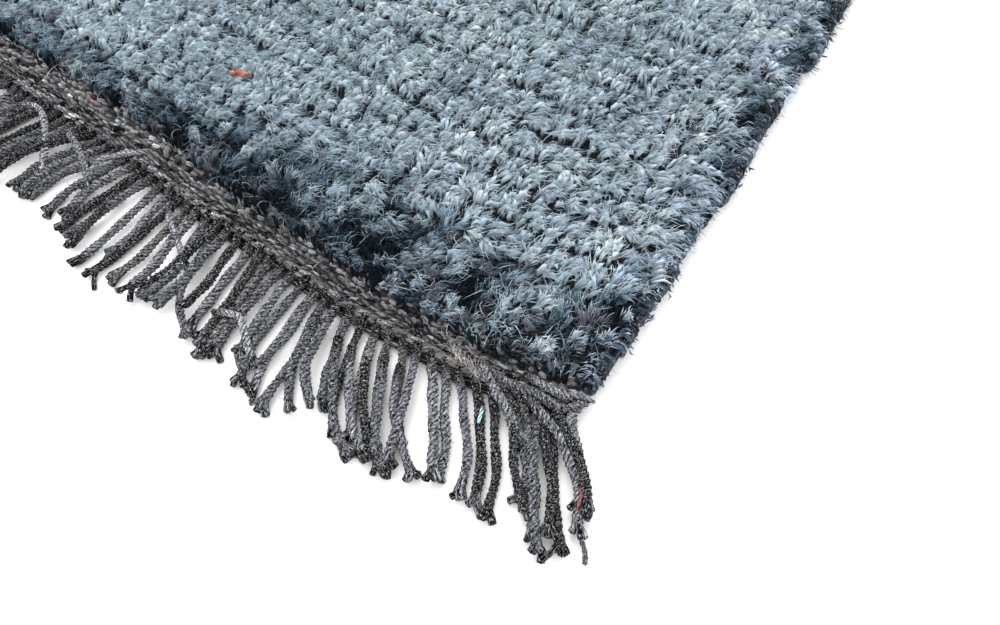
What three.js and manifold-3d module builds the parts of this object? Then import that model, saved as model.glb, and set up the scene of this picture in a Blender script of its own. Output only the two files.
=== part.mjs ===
// A small hand-knotted rug of coarse handspun wool, lying flat.
// X runs across the rug along the weft, Y along the warp and the fringe, Z up from the floor.
// The front end is at -Y, and the back end is the same end turned half round.
import * as THREE from 'three';
import { mergeVertices } from 'three/addons/utils/BufferGeometryUtils.js';
import Module from 'manifold-3d';

// Driving dimensions, in millimetres and degrees
const RUG_WIDTH = 600; // over both selvedges
const WOVEN_LENGTH = 760; // over both end braids, without the fringe
const PILE_TOP = 16; // floor to the tips of the pile
const GROUND_THICK = 4; // the woven ground that holds the knots
const PILE_SHOULDER = 4; // how far the pile rounds off at its edges
const BARE_STRIP = 10; // plain weave left without pile at each end
const SELVEDGE_WIDTH = 8;
const SELVEDGE_HEIGHT = 12;
const BUNDLE_PITCH = 32; // one overcast bundle to the next along a selvedge
const BUNDLE_DIP = 0.16; // how much a selvedge thins between two bundles
const SELVEDGE_FLATTEN = 0.2; // share of a selvedge's height that the floor presses flat
const BRAID_WIDTH = 7;
const BRAID_HEIGHT = 7.5;
const LOOP_ROW_WIDTH = 4.5; // the row of loops under the braid that the cords hang from
const CORD_DIAMETER = 4;
const CORD_PITCH = 7.5;
const CORD_LENGTH = 51; // along a cord of middling length
const CORD_LENGTH_SPREAD = 9; // longest and shortest differ by this much from the middle
const CORD_LEAN_SPREAD = 1; // how far one cord strays from its neighbours' direction
const CORD_BOW = 5; // how far the cords bow sideways
const BOW_SPAN = 170; // along the end, from cords that bow one way to the next that do
const STRIP_ROUNDING = 0.3; // share of a strip's narrower side taken off its edges
const GAP = 0.3; // between neighbouring pieces

// How far each end bulges out past a straight line, by the distance from its right-hand corner
const END_LINE = [
  { fromCorner: 0, out: -10 },
  { fromCorner: 30, out: -4 },
  { fromCorner: 60, out: 1 },
  { fromCorner: 120, out: 4 },
  { fromCorner: 210, out: 2 },
  { fromCorner: 300, out: -2.5 },
  { fromCorner: 400, out: -3 },
  { fromCorner: 560, out: -1 },
  { fromCorner: 600, out: -6 },
];

// How the cords lean along the floor towards the right-hand corner, in degrees
const CORD_LAY = [
  { fromCorner: 0, lean: 44 },
  { fromCorner: 30, lean: 38 },
  { fromCorner: 60, lean: 31 },
  { fromCorner: 125, lean: 28 },
  { fromCorner: 150, lean: 9 },
  { fromCorner: 190, lean: 9 },
  { fromCorner: 230, lean: 3 },
  { fromCorner: 265, lean: -7 },
  { fromCorner: 300, lean: -18 },
  { fromCorner: 420, lean: -12 },
  { fromCorner: 600, lean: -4 },
];

// A cord's course by share of its length: how much of its bow it takes on
const CORD_COURSE = [
  { share: 0.3, sideways: 0.6 },
  { share: 0.65, sideways: 1 },
  { share: 1, sideways: 0.2 },
];

const STATION_PITCH = 20; // straight steps along each end
const SELVEDGE_SIDES = 8;

// A table's column at a distance from the corner, eased from row to row
function readTable(table, column, fromCorner) {
  const after = table.findIndex((row) => row.fromCorner >= fromCorner);
  if (after === 0) return table[0][column];
  if (after < 0) return table[table.length - 1][column];
  const [low, high] = [table[after - 1], table[after]];
  const share = THREE.MathUtils.smoothstep(fromCorner, low.fromCorner, high.fromCorner);
  return THREE.MathUtils.lerp(low[column], high[column], share);
}

// A repeatable number from 0 to 1 for one cord and one of its habits
function vary(cord, habit) {
  const swing = Math.sin(cord * 12.9898 + habit * 78.233) * 43758.5453;
  return swing - Math.floor(swing);
}

// The front end's edge at x, straight between stations, moved towards the middle of the rug by inset
function frontEdge(x, inset) {
  const before = Math.floor(x / STATION_PITCH);
  const [low, high] = [before, before + 1].map((station) => (
    readTable(END_LINE, 'out', RUG_WIDTH / 2 - station * STATION_PITCH)
  ));
  const out = THREE.MathUtils.lerp(low, high, x / STATION_PITCH - before);
  return -WOVEN_LENGTH / 2 - out + inset;
}

// Points along the front end, from left to right between two x limits
function alongFrontEnd(halfWidth, inset) {
  const last = Math.ceil(halfWidth / STATION_PITCH) - 1;
  const places = [-halfWidth];
  for (let station = -last; station <= last; station += 1) places.push(station * STATION_PITCH);
  places.push(halfWidth);
  return places.map((x) => new THREE.Vector2(x, frontEdge(x, inset)));
}

// The rug's outline seen from above, with both ends set back by inset
function endToEnd(halfWidth, inset) {
  const front = alongFrontEnd(halfWidth, inset);
  const back = front.map((point) => point.clone().negate());
  return new THREE.Shape([...front, ...back]);
}

// A rounded strip on the floor along the front end, from its outer inset to its inner one
function stripAlongFrontEnd(halfWidth, outer, inner, height) {
  const outline = [...alongFrontEnd(halfWidth, outer), ...alongFrontEnd(halfWidth, inner).reverse()];
  const round = Math.min(inner - outer, height) * STRIP_ROUNDING;
  const strip = new THREE.ExtrudeGeometry(new THREE.Shape(outline), {
    depth: height - 2 * round,
    bevelThickness: round,
    bevelSize: round,
    bevelOffset: -round,
    bevelSegments: 1,
  });
  return strip.translate(0, 0, round);
}

// Joining and cutting closed meshes
const wasm = await Module();
wasm.setup();

function toSolid(geometry) {
  const bare = geometry.clone();
  bare.deleteAttribute('normal');
  bare.deleteAttribute('uv');
  const merged = mergeVertices(bare, 1e-4);
  return new wasm.Manifold(new wasm.Mesh({
    numProp: 3,
    vertProperties: new Float32Array(merged.attributes.position.array),
    triVerts: new Uint32Array(merged.index.array),
  }));
}

function toGeometry(solid) {
  const mesh = solid.getMesh();
  const geometry = new THREE.BufferGeometry();
  geometry.setAttribute('position', new THREE.BufferAttribute(new Float32Array(mesh.vertProperties), 3));
  geometry.setIndex(new THREE.BufferAttribute(new Uint32Array(mesh.triVerts), 1));
  geometry.computeVertexNormals();
  return geometry;
}

// The carpet: a flat woven ground, and the pile standing on all of it but the bare strips
function rugBody() {
  const halfWidth = RUG_WIDTH / 2 - SELVEDGE_WIDTH - GAP;
  const endInset = BRAID_WIDTH + GAP;
  const ground = new THREE.ExtrudeGeometry(endToEnd(halfWidth, endInset), {
    depth: GROUND_THICK,
    bevelEnabled: false,
  });
  const sideStep = 1; // the pile's sides stand just inside the ground's
  const pileFoot = 0.5; // the pile is rooted inside the ground
  const pile = new THREE.ExtrudeGeometry(endToEnd(halfWidth - sideStep, endInset + BARE_STRIP), {
    depth: PILE_TOP - pileFoot - 2 * PILE_SHOULDER,
    bevelThickness: PILE_SHOULDER,
    bevelSize: PILE_SHOULDER,
    bevelOffset: -PILE_SHOULDER,
    bevelSegments: 2,
  });
  pile.translate(0, 0, pileFoot + PILE_SHOULDER);
  return toGeometry(toSolid(ground).add(toSolid(pile)));
}

// A side cord overcast in bundles: a lumpy round bar, flat where it lies on the floor
function selvedge() {
  const cornerEdge = frontEdge(RUG_WIDTH / 2 - SELVEDGE_WIDTH, BRAID_WIDTH);
  const slack = 3; // clear of the slanted end of the braid
  const length = 2 * (Math.abs(cornerEdge) - slack);
  const bundles = Math.round(length / BUNDLE_PITCH);
  const pitch = length / bundles;
  const profile = [new THREE.Vector2(0, -length / 2)];
  for (let step = 0; step <= 2 * bundles; step += 1) {
    const betweenBundles = step % 2 === 0;
    const radius = betweenBundles ? 1 - BUNDLE_DIP : 1;
    profile.push(new THREE.Vector2(radius, -length / 2 + (step * pitch) / 2));
  }
  profile.push(new THREE.Vector2(0, length / 2));
  const halfFacet = Math.PI / SELVEDGE_SIDES;
  const bar = new THREE.LatheGeometry(profile, SELVEDGE_SIDES, halfFacet);
  const flatToFlat = 2 * Math.cos(halfFacet);
  const pressed = SELVEDGE_HEIGHT * SELVEDGE_FLATTEN;
  const roundHeight = SELVEDGE_HEIGHT + pressed;
  bar.scale(SELVEDGE_WIDTH / flatToFlat, 1, roundHeight / flatToFlat);
  bar.translate(0, 0, roundHeight / 2 - pressed);
  const floor = new THREE.BoxGeometry(2 * SELVEDGE_WIDTH, length + 2 * pitch, SELVEDGE_HEIGHT);
  floor.translate(0, 0, -SELVEDGE_HEIGHT / 2);
  return toGeometry(toSolid(bar).subtract(toSolid(floor)));
}

// The twined rope that locks the last weft along the front end
function endBraid() {
  return stripAlongFrontEnd(RUG_WIDTH / 2, 0, BRAID_WIDTH, BRAID_HEIGHT);
}

// One fringe cord's outline on the floor: out of the loop row, along its lean with a slight bow,
// and cut square. The points run from its right-hand root round its tip to its left-hand root.
function cordOutline(cord, rootX) {
  const fromCorner = RUG_WIDTH / 2 - rootX;
  const stray = (vary(cord, 1) - 0.5) * 2 * CORD_LEAN_SPREAD;
  const lean = THREE.MathUtils.degToRad(readTable(CORD_LAY, 'lean', fromCorner) + stray);
  const length = CORD_LENGTH + (vary(cord, 2) - 0.5) * 2 * CORD_LENGTH_SPREAD;
  const bow = CORD_BOW * Math.sin((2 * Math.PI * fromCorner) / BOW_SPAN);
  const along = new THREE.Vector2(Math.sin(lean), -Math.cos(lean));
  const across = new THREE.Vector2(Math.cos(lean), Math.sin(lean));
  const rootInset = -GAP - LOOP_ROW_WIDTH;
  const root = new THREE.Vector2(rootX, frontEdge(rootX, rootInset));
  const halfRoot = CORD_DIAMETER / 2 / Math.cos(lean);
  const sides = [1, -1].map((side) => {
    const sideRootX = rootX + side * halfRoot;
    const points = [new THREE.Vector2(sideRootX, frontEdge(sideRootX, rootInset))];
    for (const { share, sideways } of CORD_COURSE) {
      points.push(root.clone()
        .addScaledVector(along, share * length)
        .addScaledVector(across, sideways * bow + (side * CORD_DIAMETER) / 2));
    }
    return points;
  });
  const [right, left] = sides;
  return [...right, ...left.reverse()];
}

// The fringe: a row of loops along the braid, with the cords lying out from it as one comb
function fringe() {
  const halfWidth = RUG_WIDTH / 2 - CORD_DIAMETER;
  const outline = alongFrontEnd(halfWidth, -GAP);
  const cords = Math.floor((2 * halfWidth - 2 * CORD_DIAMETER) / CORD_PITCH);
  for (let cord = cords; cord >= 0; cord -= 1) {
    outline.push(...cordOutline(cord, (cord - cords / 2) * CORD_PITCH));
  }
  return new THREE.ExtrudeGeometry(new THREE.Shape(outline), {
    depth: CORD_DIAMETER,
    bevelEnabled: false,
  });
}

function named(name, geometry, material) {
  const mesh = new THREE.Mesh(geometry, material);
  mesh.name = name;
  return mesh;
}

const yarn = (color) => new THREE.MeshStandardMaterial({ color, roughness: 0.95, metalness: 0 });
const pileYarn = yarn(0x5f7686);
const overcastYarn = yarn(0x46566a);
const braidYarn = yarn(0x55534f);
const cordYarn = yarn(0x4a4a4f);

const rug = new THREE.Group();
rug.add(named('rug_body', rugBody(), pileYarn));

const selvedgeX = RUG_WIDTH / 2 - SELVEDGE_WIDTH / 2;
for (const { side, x, turn } of [
  { side: 'right', x: selvedgeX, turn: 0 },
  { side: 'left', x: -selvedgeX, turn: Math.PI },
]) {
  const cord = named(`selvedge_${side}`, selvedge(), overcastYarn);
  cord.position.x = x;
  cord.rotation.z = turn;
  rug.add(cord);
}

for (const { end, turn } of [
  { end: 'front', turn: 0 },
  { end: 'back', turn: Math.PI },
]) {
  const finish = new THREE.Group();
  finish.rotation.z = turn;
  finish.add(named(`end_braid_${end}`, endBraid(), braidYarn));
  finish.add(named(`fringe_${end}`, fringe(), cordYarn));
  rug.add(finish);
}

export default rug;
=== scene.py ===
# A small hand-knotted wool rug that lies flat, with one fringed corner towards the camera.
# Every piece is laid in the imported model's frame, in metres: X across the rug, Y along its warp, Z up.
import math
import bpy
import numpy as np
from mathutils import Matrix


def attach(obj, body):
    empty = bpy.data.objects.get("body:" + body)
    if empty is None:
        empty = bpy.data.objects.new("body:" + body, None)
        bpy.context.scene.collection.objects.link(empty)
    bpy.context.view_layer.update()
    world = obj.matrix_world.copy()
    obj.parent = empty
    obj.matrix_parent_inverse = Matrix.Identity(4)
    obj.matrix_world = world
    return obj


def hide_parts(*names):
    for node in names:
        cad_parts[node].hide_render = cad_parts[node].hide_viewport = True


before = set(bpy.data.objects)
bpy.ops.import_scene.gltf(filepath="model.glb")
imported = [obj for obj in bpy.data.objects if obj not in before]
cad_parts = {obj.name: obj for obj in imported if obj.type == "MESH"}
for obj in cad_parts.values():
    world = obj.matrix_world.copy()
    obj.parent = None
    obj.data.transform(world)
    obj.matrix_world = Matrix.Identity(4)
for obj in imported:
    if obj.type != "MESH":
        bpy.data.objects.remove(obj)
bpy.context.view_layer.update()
bpy.ops.object.select_all(action="DESELECT")

# Woven ground
# The weaver's base cloth of dark wool weft beaten down over the warp, as wide as the rug between its
# side cords. Both ends bow a little, as they came off the loom. It lies flat and carries the knots.
MM = 0.001
HALF_WIDTH = 0.300
HALF_LENGTH = 0.380
SIDE_CORD_WIDTH = 0.008
BRAID_WIDTH = 0.007
SEAM = 0.0003
GROUND_LIFT = 0.0004
GROUND_THICK = 0.0032
GROUND_COLOUR = (0.020, 0.026, 0.034, 1)
WEFT_PITCH = 0.0026
END_LINE = ((0, -10), (30, -4), (60, 1), (120, 4), (210, 2), (300, -2.5), (400, -3), (560, -1), (600, -6))


def eased(table, places):
    """Reads a table of two columns at the given places, with a smooth step from row to row."""
    places = np.asarray(places, float)
    result = np.full_like(places, table[0][1])
    for (start, first), (stop, last) in zip(table[:-1], table[1:]):
        part = np.clip((places - start) / (stop - start), 0, 1)
        result = np.where(places >= start, first + (last - first) * part * part * (3 - 2 * part), result)
    return result


def front_line(x, inset=0.0):
    """The Y of the rug's front end at x, moved in from the outer edge of its braid."""
    from_corner = (HALF_WIDTH - np.asarray(x, float)) / MM
    return -HALF_LENGTH - eased(END_LINE, from_corner) * MM + inset


def stage_nodes(name):
    """A new material, its nodes, its links and its surface shader."""
    material = bpy.data.materials.new(name)
    material.use_nodes = True
    nodes = material.node_tree.nodes
    return material, nodes, material.node_tree.links, nodes["Principled BSDF"]


ground_width = 2 * (HALF_WIDTH - SIDE_CORD_WIDTH - SEAM)
bpy.ops.mesh.primitive_grid_add(x_subdivisions=40, y_subdivisions=30, size=1)
ground = bpy.context.object
ground.name = "woven_ground"
for vertex in ground.data.vertices:
    x = vertex.co.x * ground_width
    front = float(front_line(x, BRAID_WIDTH + SEAM))
    back = -float(front_line(-x, BRAID_WIDTH + SEAM))
    vertex.co = (x, front + (vertex.co.y + 0.5) * (back - front), GROUND_LIFT)
thickness = ground.modifiers.new("cloth thickness", "SOLIDIFY")
thickness.thickness = GROUND_THICK
thickness.offset = 1
bpy.ops.object.modifier_apply(modifier=thickness.name)

ground_wool, nodes, links, shader = stage_nodes("ground_wool")
place = nodes.new("ShaderNodeTexCoord")
weft = nodes.new("ShaderNodeTexWave")
weft.bands_direction = "Y"
weft.inputs["Scale"].default_value = 2 * math.pi / 20 / WEFT_PITCH
weft.inputs["Distortion"].default_value = 1.5
weft.inputs["Detail"].default_value = 2
shade = nodes.new("ShaderNodeValToRGB")
shade.color_ramp.elements[0].color = tuple(0.4 * part for part in GROUND_COLOUR[:3]) + (1,)
shade.color_ramp.elements[1].color = tuple(1.6 * part for part in GROUND_COLOUR[:3]) + (1,)
relief = nodes.new("ShaderNodeBump")
relief.inputs["Distance"].default_value = 0.0008
links.new(place.outputs["Object"], weft.inputs["Vector"])
links.new(weft.outputs["Color"], shade.inputs["Fac"])
links.new(weft.outputs["Color"], relief.inputs["Height"])
links.new(shade.outputs["Color"], shader.inputs["Base Color"])
links.new(relief.outputs["Normal"], shader.inputs["Normal"])
shader.inputs["Roughness"].default_value = 0.95
ground.data.materials.append(ground_wool)
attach(ground, "root")
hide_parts("rug_body")

# Knotted pile
# Blue-grey handspun wool, knotted round the warp row by row, cut, and trodden over towards the far
# right. A knot opens into two soft locks and loose fibres, finer at the corner that is seen from near.
KNOT_PITCH = 0.0046
ROW_PITCH = 0.0049
PILE_MARGIN = 0.0012
ROOT_HEIGHT = 0.0030
LOCK_RISE = 0.0106
LOCK_REACH = 0.0076
LOCK_RADIUS = 0.00118
NAP_HEADING = math.radians(52)
FURROW_PITCH = 0.021
FURROW_DEPTH = 0.72
SINK_DEPTH = 0.36
BUNCH_ROUND = 0.22
BUNCH_PULL = 0.38
BUNCH_WIDE = 0.0115
BUNCH_DEEP = 0.0078
CHART_ROWS = 4
FLOOR_GAP = 0.0002
PILE_SHADES = (
    ("ink", (0.004, 0.009, 0.014)),
    ("navy", (0.051, 0.083, 0.114)),
    ("slate", (0.149, 0.216, 0.268)),
    ("steel", (0.305, 0.388, 0.455)),
    ("grey_teal", (0.420, 0.515, 0.580)),
    ("pale_grey", (0.545, 0.625, 0.670)),
    ("frost", (0.630, 0.690, 0.715)),
    ("sage", (0.380, 0.480, 0.505)),
    ("lavender", (0.385, 0.455, 0.540)),
    ("sky", (0.470, 0.585, 0.700)),
    ("dun", (0.112, 0.124, 0.150)),
    ("rust", (0.600, 0.260, 0.180)),
)
SAGE, LAVENDER, SKY, DUN, RUST = range(7, 12)
PALEST_TONE = 6
chance = np.random.default_rng(20)
UP = np.array([0.0, 0.0, 1.0])


def drift(x, y, size, seed):
    """Chance values from -1 to 1 that change smoothly over the given size, as a nap or a dye does."""
    side = 101
    grid = np.random.default_rng(seed).uniform(-1, 1, (side, side))
    column = np.floor(x / size).astype(int)
    row = np.floor(y / size).astype(int)
    across = x / size - column
    along = y / size - row
    across = across * across * (3 - 2 * across)
    along = along * along * (3 - 2 * along)
    near = grid[column % side, row % side] * (1 - across) + grid[(column + 1) % side, row % side] * across
    far = grid[column % side, (row + 1) % side] * (1 - across)
    far = far + grid[(column + 1) % side, (row + 1) % side] * across
    return near * (1 - along) + far * along


def unit(vectors):
    """The vectors, each at length 1."""
    return vectors / np.maximum(np.linalg.norm(vectors, axis=-1, keepdims=True), 1e-12)


def spin_fibres(spines, radii, cells, sides=3, lay=None, groove=1.0, hint=None):
    """Closed fibres or yarns: one spine of points, one row of radii between its two ends, and one chart
    cell (low u, low v, width, height) for each. With a lay, the sides wind round once in that length and
    every other side is sunk to the groove's share, so that plies show. Gives points, triangles, marks."""
    count, length = spines.shape[:2]
    rings = length - 2
    steps = np.linalg.norm(np.diff(spines, axis=1), axis=2)
    run = np.concatenate([np.zeros((count, 1)), np.cumsum(steps, axis=1)], axis=1)
    heights = run / run[:, -1:]
    if hint is None:
        hint = unit(chance.normal(size=(count, 1, 3)))
    forward = unit(spines[:, 2:] - spines[:, :-2])
    sideways = unit(np.cross(forward, hint))
    upward = np.cross(forward, sideways)
    angles = np.arange(sides) * (2 * math.pi / sides) + np.zeros((count, rings, 1))
    if lay:
        angles = angles + 2 * math.pi * run[:, 1:-1, None] / lay
    depth = np.where(np.arange(sides) % 2, groove, 1.0) * radii[:, :, None]
    rim = (np.cos(angles) * depth)[..., None] * sideways[:, :, None]
    rim = rim + (np.sin(angles) * depth)[..., None] * upward[:, :, None]
    rim = rim + spines[:, 1:-1, None]
    points = np.concatenate([spines[:, :1], rim.reshape(count, rings * sides, 3), spines[:, -1:]], axis=1)
    tip = 1 + rings * sides
    triangles = []
    corners = []
    for side in range(sides):
        here, there = side, (side + 1) % sides
        left, middle, right = side / sides, (side + 0.5) / sides, (side + 1) / sides
        triangles.append((0, 1 + there, 1 + here))
        corners.append(((middle, 0), (right, 1), (left, 1)))
        for ring in range(rings - 1):
            low = 1 + ring * sides
            high = low + sides
            triangles.append((low + here, low + there, high + there))
            corners.append(((left, ring + 1), (right, ring + 1), (right, ring + 2)))
            triangles.append((low + here, high + there, high + here))
            corners.append(((left, ring + 1), (right, ring + 2), (left, ring + 2)))
        last = 1 + (rings - 1) * sides
        triangles.append((last + here, last + there, tip))
        corners.append(((left, rings), (right, rings), (middle, rings + 1)))
    triangles = np.array(triangles)
    corners = np.array(corners)
    faces = triangles[None] + (np.arange(count) * points.shape[1])[:, None, None]
    across = cells[:, 0, None, None] + corners[None, :, :, 0] * cells[:, 2, None, None]
    along = heights[:, corners[:, :, 1].astype(int)]
    along = cells[:, 1, None, None] + along * cells[:, 3, None, None]
    marks = np.stack([across, along], axis=-1)
    return points.reshape(-1, 3), faces.reshape(-1, 3), marks.reshape(-1, 2)


def join_pieces(name, parts, material):
    """One object of many small shapes, each given as points, triangles and chart marks."""
    starts = np.cumsum([0] + [len(part[0]) for part in parts[:-1]])
    points = np.concatenate([part[0] for part in parts]).astype(np.float32)
    faces = np.concatenate([part[1] + start for part, start in zip(parts, starts)]).astype(np.int32)
    marks = np.concatenate([part[2] for part in parts]).astype(np.float32)
    points[:, 2] = np.maximum(points[:, 2], FLOOR_GAP)
    mesh = bpy.data.meshes.new(name)
    mesh.vertices.add(len(points))
    mesh.vertices.foreach_set("co", points.ravel())
    mesh.loops.add(faces.size)
    mesh.loops.foreach_set("vertex_index", faces.ravel())
    mesh.polygons.add(len(faces))
    mesh.polygons.foreach_set("loop_start", np.arange(0, faces.size, 3, dtype=np.int32))
    mesh.polygons.foreach_set("use_smooth", np.ones(len(faces), dtype=bool))
    mesh.uv_layers.new(name="OFBake").data.foreach_set("uv", marks.ravel())
    mesh.update(calc_edges=True)
    mesh.materials.append(material)
    piece = bpy.data.objects.new(name, mesh)
    bpy.context.collection.objects.link(piece)
    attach(piece, "root")
    return piece


def chart_cells(shades, count, shade_total, start=0.0):
    """Places on the wool chart for fibres of the given shade numbers, in chance strands and rows. Start is
    the share of a row that is left out at the root."""
    strand = chance.integers(0, 2, count)
    row = chance.integers(0, CHART_ROWS, count)
    width = 0.5 / shade_total
    height = 1 / CHART_ROWS
    low_u = (shades * 2 + strand) * width
    return np.stack([low_u + 0.04 * width, (row + 0.02 + start) * height,
                     np.full(count, 0.92 * width), np.full(count, (0.96 - start) * height)], axis=1)


def wool_chart(name, shades, strands, run, contrast, spread=0.18, root_shading=None, plies=0, fleck=0):
    """Dyed wool read from the piece's own chart: a shade for each column and strands along the fibre.
    Root shading is painted shade at the root end: the shade there and further on, with the two places
    between which it changes. Plies are pale and dark by turns, with painted shade in the grooves between
    them, and fleck is the share of pale hairs spun in."""
    material, nodes, links, shader = stage_nodes(name)

    def sums(operation, first, second):
        """One sum on a linked number and a fixed second one."""
        node = nodes.new("ShaderNodeMath")
        node.operation = operation
        links.new(first, node.inputs[0])
        node.inputs[1].default_value = second
        return node.outputs[0]

    def ramp(factor, low, high, low_place, high_place):
        """Greys from low to high between two places."""
        node = nodes.new("ShaderNodeValToRGB")
        for stop, value, spot in zip(node.color_ramp.elements, (low, high), (low_place, high_place)):
            stop.color = (value, value, value, 1)
            stop.position = spot
        links.new(factor, node.inputs["Fac"])
        return node.outputs["Color"]

    def dyed(blend, colour, over):
        """One colour laid over another."""
        node = nodes.new("ShaderNodeMix")
        node.data_type = "RGBA"
        node.blend_type = blend
        node.inputs["Factor"].default_value = 1.0
        links.new(colour, node.inputs["A"])
        links.new(over, node.inputs["B"])
        return node.outputs["Result"]

    chart = nodes.new("ShaderNodeUVMap")
    chart.uv_map = "OFBake"
    split = nodes.new("ShaderNodeSeparateXYZ")
    links.new(chart.outputs["UV"], split.inputs["Vector"])
    dye = nodes.new("ShaderNodeValToRGB")
    dye.color_ramp.interpolation = "CONSTANT"
    stops = dye.color_ramp.elements
    while len(stops) < len(shades):
        stops.new(0.5)
    for number, shade in enumerate(shades):
        stops[number].position = number / len(shades)
        stops[number].color = (*shade[1], 1)
    links.new(split.outputs["X"], dye.inputs["Fac"])
    along = sums("MULTIPLY", split.outputs["Y"], CHART_ROWS)
    across = sums("MULTIPLY", split.outputs["X"], len(shades) * 2)
    strand_place = nodes.new("ShaderNodeCombineXYZ")
    links.new(sums("MULTIPLY", across, strands), strand_place.inputs["X"])
    links.new(sums("MULTIPLY", along, run), strand_place.inputs["Y"])
    strand = nodes.new("ShaderNodeTexNoise")
    strand.inputs["Scale"].default_value = 1.0
    strand.inputs["Detail"].default_value = 2.0
    strand.inputs["Distortion"].default_value = 0.6
    links.new(strand_place.outputs["Vector"], strand.inputs["Vector"])
    grain = ramp(strand.outputs["Fac"], *contrast, 0.5 - spread, 0.5 + spread)
    colour = dyed("MULTIPLY", dye.outputs["Color"], grain)
    # Painted shade that darkens each fibre or yarn towards its root end.
    if root_shading:
        colour = dyed("MULTIPLY", colour, ramp(sums("FRACT", along, 0), *root_shading))
    if plies:
        # Painted shade in the grooves between the plies; the marl below is the yarn's own pale and dark
        # plies.
        crest = sums("PINGPONG", sums("MULTIPLY", across, plies), 0.5)
        colour = dyed("MULTIPLY", colour, ramp(crest, 0.06, 1.25, 0.05, 0.34))
        marl = sums("PINGPONG", sums("MULTIPLY", across, 0.5 * plies), 0.5)
        colour = dyed("MULTIPLY", colour, ramp(marl, 0.80, 1.25, 0.20, 0.30))
    if fleck:
        hairs = nodes.new("ShaderNodeTexNoise")
        hairs.inputs["Scale"].default_value = 1.9
        hairs.inputs["Detail"].default_value = 1.0
        links.new(strand_place.outputs["Vector"], hairs.inputs["Vector"])
        colour = dyed("ADD", colour, ramp(hairs.outputs["Fac"], 0, 0.45, 0.70 - fleck, 0.86 - fleck))
    links.new(colour, shader.inputs["Base Color"])
    bump = nodes.new("ShaderNodeBump")
    bump.inputs["Distance"].default_value = 0.0003
    bump.inputs["Strength"].default_value = 0.6
    links.new(strand.outputs["Fac"], bump.inputs["Height"])
    links.new(bump.outputs["Normal"], shader.inputs["Normal"])
    shader.inputs["Roughness"].default_value = 0.8
    shader.inputs["Diffuse Roughness"].default_value = 1.0
    shader.inputs["Specular IOR Level"].default_value = 0.02
    shader.inputs["Sheen Weight"].default_value = 0.02
    shader.inputs["Sheen Roughness"].default_value = 0.5
    return material


# The bare strip between braid and pile is narrower towards the near corner.
BARE_STRIP = ((0, 3), (60, 5), (180, 6), (330, 12), (600, 11))
field_half = HALF_WIDTH - SIDE_CORD_WIDTH - PILE_MARGIN
knots = int(2 * field_half / KNOT_PITCH) + 1
first_row = -HALF_LENGTH + BRAID_WIDTH + SEAM + 0.010
rows = int(-2 * first_row / ROW_PITCH) + 1
knot_places = np.linspace(-field_half, field_half, knots)
row_places = np.linspace(first_row, -first_row, rows)
knot_x, row_y = np.meshgrid(knot_places, row_places)
knot_x = knot_x.ravel() + chance.uniform(-0.9, 0.9, knot_x.size) * MM
row_y = row_y.ravel() + chance.uniform(-0.6, 0.6, row_y.size) * MM
END_PULL = 0.150


def row_shift(x, y):
    """How far a row is drawn out of straight by the bowed end in front of it."""
    bow = front_line(x) + HALF_LENGTH + (eased(BARE_STRIP, (HALF_WIDTH - x) / MM) - 10) * MM
    return bow * np.exp(-(y - first_row) / END_PULL)


def fading(distance, start, reach):
    """1 as far as the start, then falling evenly to 0 over the reach."""
    return np.clip(1 - (distance - start) / reach, 0, 1)


knot_y = row_y + row_shift(knot_x, row_y) - row_shift(-knot_x, -row_y)
from_front = knot_y - front_line(knot_x)
from_back = -knot_y - front_line(-knot_x)
from_end = np.minimum(from_front, from_back)
from_side = HALF_WIDTH - np.abs(knot_x)
total = knot_x.size

# Nap: the way each knot lies, the broken furrows between groups of rows, and the small round bunches in
# which neighbouring knots cling together, highest in their middles.
end_rise = fading(from_end, 0.014, 0.030)
overhang = fading(HALF_WIDTH - knot_x, 0, 0.024)
heading = NAP_HEADING + 0.5 * drift(knot_x, knot_y, 0.045, 1) + 0.7 * drift(knot_x, knot_y, 0.012, 2)
heading = heading + chance.normal(0, 0.25, total) + end_rise * chance.normal(0, 0.6, total)
heading = heading * (1 - 0.7 * overhang) + 0.10 * overhang
furrow_wander = 0.30 * drift(0.30 * knot_x, knot_y, 0.040, 3) + 0.10 * drift(knot_x, knot_y, 0.020, 4)
furrow = np.clip(1.35 - np.abs(((row_y / FURROW_PITCH + furrow_wander) % 1) - 0.5) / 0.12, 0, 1)
furrow = furrow * np.clip(0.90 + 1.4 * drift(0.30 * knot_x, knot_y, 0.024, 5), 0, 1)
sink = np.clip(1.2 * drift(0.40 * knot_x, knot_y, 0.009, 6) - 0.32, 0, 1)
sink = sink + 1.3 * overhang * np.clip(drift(knot_x, knot_y, 0.011, 11), 0, 1)
bunch_column = np.floor(knot_x / BUNCH_WIDE + 0.5 * drift(knot_x, knot_y, 0.022, 9))
bunch_row = np.floor(knot_y / BUNCH_DEEP + 0.5 * drift(knot_x, knot_y, 0.022, 10))
bunch = np.unique(np.stack([bunch_column, bunch_row], axis=1), axis=0, return_inverse=True)[1].ravel()
members = np.bincount(bunch)
pull = np.stack([np.bincount(bunch, knot_x) / members, np.bincount(bunch, knot_y) / members], axis=1)[bunch]
pull = pull - np.stack([knot_x, knot_y], axis=1)
dome = np.clip(np.hypot(pull[:, 0] / BUNCH_WIDE, pull[:, 1] / BUNCH_DEEP) / 0.72, 0, 1) ** 2
pull = np.concatenate([BUNCH_PULL * pull, np.zeros((total, 1))], axis=1)
heading = heading + chance.normal(0, 0.30, members.size)[bunch]
rise = LOCK_RISE * (1 - FURROW_DEPTH * furrow - SINK_DEPTH * sink - BUNCH_ROUND * dome)
rise = rise * chance.uniform(0.90, 1.08, total)
rise = rise * chance.uniform(0.91, 1.05, members.size)[bunch] * (1 - 0.25 * overhang)
reach = LOCK_REACH * (1 - 0.25 * end_rise + 0.85 * overhang) * chance.uniform(0.6, 1.3, total)
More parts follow.
